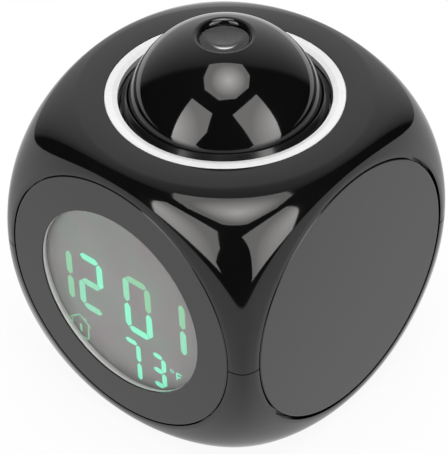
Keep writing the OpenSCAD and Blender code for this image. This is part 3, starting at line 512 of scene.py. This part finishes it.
def makeSprings(part):
    bm = bmesh.new()
    bm.from_mesh(nodes[part["node"]].data)
    bmesh.ops.remove_doubles(bm, verts=bm.verts, dist=weld)
    for face in bm.faces:
        face.smooth = True
    piece = newPiece("pressCoils", bm)
    dress(piece, finishes["spring"])
    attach(piece, "housing")
    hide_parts(part["node"])
    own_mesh(piece)


makeSprings(springSet)
print("springs coiled")


# display: lit bars, in mm across and up from the display's middle
segmentSet = {
    "node": "lcd_cell",
    "ahead": 0.01,    # in front of the cell
    "thick": 0.08,
    "lean": -0.03,
    "bar": 1.9,
    "gap": 0.2,
    "line": 0.34,
    "degree": {"at": (14.6, -15.4), "radius": 0.6, "line": 0.25, "segments": 16},
    "levels": {"bright": (0.2, 1.0, 0.62), "soft": (0.23, 0.76, 0.47), "faint": (0.22, 0.61, 0.33)},
    "unlit": (0.05, 0.08, 0.06),
    "rough": 0.4,
    "patch": 2.2,
    "fade": 0.93,
}

# where each figure's right side and middle are, and which of its bars light up less
figures = [
    {"figure": "1", "at": (-18.35, -2.8), "size": (6.6, 15.4), "faint": "bc"},
    {"figure": "2", "at": (-8.1, -2.15), "size": (6.4, 15.9), "soft": "ged"},
    {"figure": "0", "at": (7.65, -0.95), "size": (7.0, 15.8), "soft": "f", "faint": "ab"},
    {"figure": "1", "at": (18.65, 0.3), "size": (6.6, 16.2), "soft": "c", "faint": "b"},
    {"figure": "7", "at": (3.8, -19.1), "size": (4.3, 11.6), "bar": 1.45},
    {"figure": "3", "at": (12.05, -17.8), "size": (3.6, 9.3), "bar": 1.45},
]

barsOf = {"0": "abcdef", "1": "bc", "2": "abged", "3": "abgcd", "7": "abc"}

signs = [
    {"sign": "letter", "level": "bright",
     "strokes": [((16.2, -14.9), (16.3, -17.3)), ((16.2, -15.05), (17.9, -15.05)),
                 ((16.3, -16.1), (17.5, -16.1))]},
    {"sign": "house", "level": "faint",
     "strokes": [((-19.6, -17.5), (-16.0, -14.6)), ((-16.0, -14.6), (-12.3, -17.4)),
                 ((-14.1, -14.8), (-14.0, -15.9)), ((-13.2, -17.0), (-13.3, -21.6)),
                 ((-13.3, -21.6), (-16.6, -22.0)), ((-16.6, -22.0), (-18.6, -20.0)),
                 ((-18.6, -20.0), (-18.7, -17.3))]},
    {"sign": "thermometer", "level": "faint", "line": 0.646,
     "strokes": [((-15.85, -17.6), (-15.8, -19.1)), ((-15.8, -18.6), (-15.7, -20.2))]},
]

levelNames = list(segmentSet["levels"])


def litFinish(name, colour, part):
    material, graph = newMaterial(name + "Segment")
    patch = graph.noise(part["patch"] * mm, 1)
    tint = graph.mix(graph.ramp(patch, *tintEnds), colour, [c * part["fade"] for c in colour])
    graph.surface(principled(graph, Base_Color=part["unlit"], Roughness=part["rough"],
                             Emission_Color=tint, Emission_Strength=1.0))
    return material


def addBar(bm, start, end, wide, level):
    # a flat bar with square points, stretched from a hexagon that stands on one of its corners
    along = Vector((end[0] - start[0], 0, end[1] - start[1]))
    middle = Vector(((start[0] + end[0]) / 2, 0, (start[1] + end[1]) / 2))
    stretch = max(0, along.length / 2 - wide)
    verts = bmesh.ops.create_circle(bm, cap_ends=True, segments=6, radius=wide / math.sqrt(3))["verts"]
    for vert in verts:
        vert.co.y = math.sqrt(3) * vert.co.y + math.copysign(stretch, vert.co.y)
    along.normalize()
    lie = Matrix((along.cross((0, 1, 0)), along, (0, 1, 0))).transposed()
    bmesh.ops.rotate(bm, verts=verts, cent=(0, 0, 0), matrix=lie)
    bmesh.ops.translate(bm, verts=verts, vec=middle)
    for face in {face for vert in verts for face in vert.link_faces}:
        face.material_index = levelNames.index(level)


def addFigure(bm, figure, part):
    (right, middle), (width, height) = figure["at"], figure["size"]
    corners = [(x, z) for z in (height / 2, 0, -height / 2) for x in (right - width, right)]
    tl, tr, ml, mr, bl, br = [(x + part["lean"] * z, middle + z) for x, z in corners]
    ends = {"a": (tl, tr), "b": (tr, mr), "c": (mr, br), "d": (bl, br), "e": (ml, bl), "f": (tl, ml),
            "g": (ml, mr)}
    for key in barsOf[figure["figure"]]:
        start, end = (Vector(point) for point in ends[key])
        back = (end - start).normalized() * part["gap"]
        dimmed = [name for name in levelNames if key in figure.get(name, "")]
        level = dimmed[0] if dimmed else "bright"
        addBar(bm, start + back, end - back, figure.get("bar", part["bar"]), level)


def addDegree(bm, part):
    made = bmesh.ops.create_circle(bm, cap_ends=True, segments=part["segments"], radius=part["radius"])
    verts = made["verts"]
    upright = Matrix.Rotation(math.radians(90), 3, "X")
    bmesh.ops.rotate(bm, verts=verts, cent=(0, 0, 0), matrix=upright)
    bmesh.ops.translate(bm, verts=verts, vec=(part["at"][0], 0, part["at"][1]))
    disc = verts[0].link_faces[0]
    bmesh.ops.inset_individual(bm, faces=[disc], thickness=part["line"])
    bmesh.ops.delete(bm, geom=[disc], context="FACES")


def makeSegments(part):
    low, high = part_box(part["node"])
    face = low[1] / mm - part["ahead"]
    middle = (low[2] + high[2]) / 2 / mm
    bm = bmesh.new()
    for figure in figures:
        addFigure(bm, figure, part)
    for sign in signs:
        for start, end in sign["strokes"]:
            addBar(bm, start, end, sign.get("line", part["line"]), sign["level"])
    addDegree(bm, part["degree"])
    bmesh.ops.solidify(bm, geom=list(bm.faces), thickness=part["thick"])
    bmesh.ops.translate(bm, verts=bm.verts, vec=(0, face, middle))
    bmesh.ops.scale(bm, vec=(mm, mm, mm), verts=bm.verts)
    bmesh.ops.recalc_face_normals(bm, faces=bm.faces)
    piece = newPiece("displaySegments", bm)
    for name, colour in part["levels"].items():
        piece.data.materials.append(litFinish(name, colour, part))
    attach(piece, "housing")


makeSegments(segmentSet)
print("display lit")


# backdrop: white where it is seen, and as the plastic mirrors it a wall with a bright middle
backdropSet = {
    "way": (-0.593, 0.67, 0.447),
    "edge": 0.474,    # cosine from this way to the wall's edge
    "middle": 0.97,   # and to its bright middle
    "blur": 0.035,
    "rim": 0.17,
    "core": 1.0,
    "dark": 0.003,
}


def makeWorld(part):
    world = bpy.data.worlds.new("studio")
    bpy.context.scene.world = world
    world.use_nodes = True
    graph = Graph(world.node_tree)
    way = graph.add("ShaderNodeTexCoord")["Generated"]
    facing = graph.measure("DOT_PRODUCT", way, part["way"])
    edge, blur, rim = part["edge"], part["blur"], part["rim"]
    bright = graph.ramp(facing, edge - blur, edge + blur, part["dark"], rim)
    bright = bright + graph.ramp(facing, edge, part["middle"], 0.0, part["core"] - rim)
    seen = graph.add("ShaderNodeLightPath")["Is Camera Ray"]
    level = bright * (1 - seen) + seen
    ground = graph.add("ShaderNodeBackground", None, {"Color": (1, 1, 1), "Strength": level})["Background"]
    graph.surface(ground, "ShaderNodeOutputWorld")


# floor: white paper that keeps the shadow, clear from below; sizes in metres
floorSet = {
    "radius": 0.6,
    "gap": 0.0002,    # below the feet
    "colour": (0.8, 0.8, 0.8),
    "rough": 0.8,
    "shadowShare": 0.07,
    "shadowEnds": (0.045, 0.085),
    "mirrored": 1.0,
    "front": (0.664, -0.747, 0),
    "frontEnds": (0.255, 0.28),    # the table's near edge, as the plastic mirrors it
    "dark": 0.003,
}


def makeFloor(part):
    bm = bmesh.new()
    disc = bmesh.ops.create_circle(bm, cap_ends=True, segments=128, radius=part["radius"])
    bmesh.ops.translate(bm, verts=disc["verts"], vec=(0, 0, -part["gap"]))
    floor = newPiece("floor", bm)
    material, graph = newMaterial("floorFinish")
    spot = graph.place()
    far = graph.measure("LENGTH", spot)
    ahead = graph.measure("DOT_PRODUCT", spot, part["front"])
    paper = principled(graph, Base_Color=part["colour"], Roughness=part["rough"])
    fade = graph.ramp(far, *part["shadowEnds"], 1 - part["shadowShare"], 1.0)
    shown = graph.blend(fade, paper, graph.glow((1, 1, 1), 1.0))
    table = graph.ramp(ahead, *part["frontEnds"], part["mirrored"], part["dark"])
    glossy = graph.add("ShaderNodeLightPath")["Is Glossy Ray"]
    shown = graph.blend(glossy, shown, graph.glow((1, 1, 1), table))
    below = graph.add("ShaderNodeNewGeometry")["Backfacing"]
    clear = graph.add("ShaderNodeBsdfTransparent")["BSDF"]
    graph.surface(graph.blend(below, shown, clear))
    floor.data.materials.append(material)


# mirrored cards: soft lights as the glossy plastic shows them, each with one bright spot.
# Their corners are where the ball shows them in the photograph, in pixels from its top left.
pinLow, pinHigh = (Vector(corner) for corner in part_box("tilt_pins"))
coverLow, coverHigh = (Vector(corner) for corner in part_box("ball_cover"))
ballMiddle = (pinLow + pinHigh) / 2
ballRadius = (coverHigh.x - coverLow.x) / 2
cardSet = {"reach": 1.2, "colour": (1, 0.985, 0.965)}
cards = {
    "topCard": {
        "glow": (9.8, 3.1), "hot": (0.24, -0.17, 0.95), "spread": 0.42,
        "corners": [(209.5, 65), (235.5, 64), (242, 65), (249.5, 76), (248.5, 88), (235.5, 99),
                    (219, 100.5), (205, 90), (204, 78)],
    },
    "leftCard": {
        "glow": (8.8, 3.7), "hot": (-0.34, -0.92, 0.1), "spread": 0.7,
        "corners": [(192.5, 98.5), (212.5, 113.5), (207, 132), (196, 144), (204, 156), (170, 147.5),
                    (176, 124.5)],
    },
    "rightCard": {
        "glow": (8.4, 3.6), "hot": (0.95, 0.22, 0.15), "spread": 0.7,
        "corners": [(256, 94.5), (264.5, 104), (276.5, 122.5), (282.5, 145.5), (245, 155.5), (254, 145.5),
                    (244, 130), (232.5, 115)],
    },
}


def mirroredWay(x, y, part):
    # the camera's ray through a pixel meets the ball and is mirrored by its skin
    camera = bpy.context.scene.camera.matrix_world
    width, height = part["picture"]
    pixel = part["sensor"] / max(width, height)
    sight = Vector(((x - width / 2) * pixel, (height / 2 - y) * pixel, -part["lens"])).normalized()
    sight = camera.to_3x3() @ sight
    eye = camera.translation - ballMiddle
    nearest = eye - eye.dot(sight) * sight
    outward = nearest - math.sqrt(ballRadius ** 2 - nearest.length_squared) * sight
    return sight.reflect(outward)


def makeCard(name, part, reach, colour):
    ways = [mirroredWay(*corner, cameraSet) for corner in part["corners"]]
    middle = sum(ways, Vector()).normalized()
    bm = bmesh.new()
    bm.faces.new([bm.verts.new(ballMiddle + way * reach / way.dot(middle)) for way in ways])
    card = newPiece(name, bm)
    material, graph = newMaterial(name + "Glow")
    hot = Vector(part["hot"])
    place = ballMiddle + hot * reach / hot.dot(middle)
    away = graph.measure("DISTANCE", graph.place(), place)
    level = graph.ramp(away, 0.0, part["spread"], *part["glow"])
    graph.surface(graph.glow(colour, level))
    card.data.materials.append(material)
    card.visible_camera = False
    card.visible_diffuse = False
    card.visible_shadow = False
    card.visible_transmission = False


# lamps: they light the clock and aren't seen or mirrored themselves
lampSet = {"reach": 1.1, "size": 0.7}
lamps = {
    "topLamp": {"way": (0.2, -0.15, 0.95), "power": 7.3},
    "leftLamp": {"way": (0.0, -0.92, 0.3), "power": 4.2},
    "rightLamp": {"way": (0.93, -0.1, 0.3), "power": 4.2},
}


def makeLamp(name, part, reach, size):
    data = bpy.data.lights.new(name, "AREA")
    data.shape = "DISK"
    data.size = size
    data.energy = part["power"]
    lamp = bpy.data.objects.new(name, data)
    bpy.context.scene.collection.objects.link(lamp)
    way = Vector(part["way"]).normalized()
    turn = way.to_track_quat("Z", "Y").to_matrix().to_4x4()
    lamp.matrix_world = Matrix.Translation(ballMiddle + way * reach) @ turn
    lamp.visible_camera = False
    lamp.visible_glossy = False
    lamp.visible_transmission = False


makeWorld(backdropSet)
makeFloor(floorSet)
for name, part in cards.items():
    makeCard(name, part, **cardSet)
for name, part in lamps.items():
    makeLamp(name, part, **lampSet)
bpy.context.scene.view_settings.view_transform = "Standard"
print("studio lit")
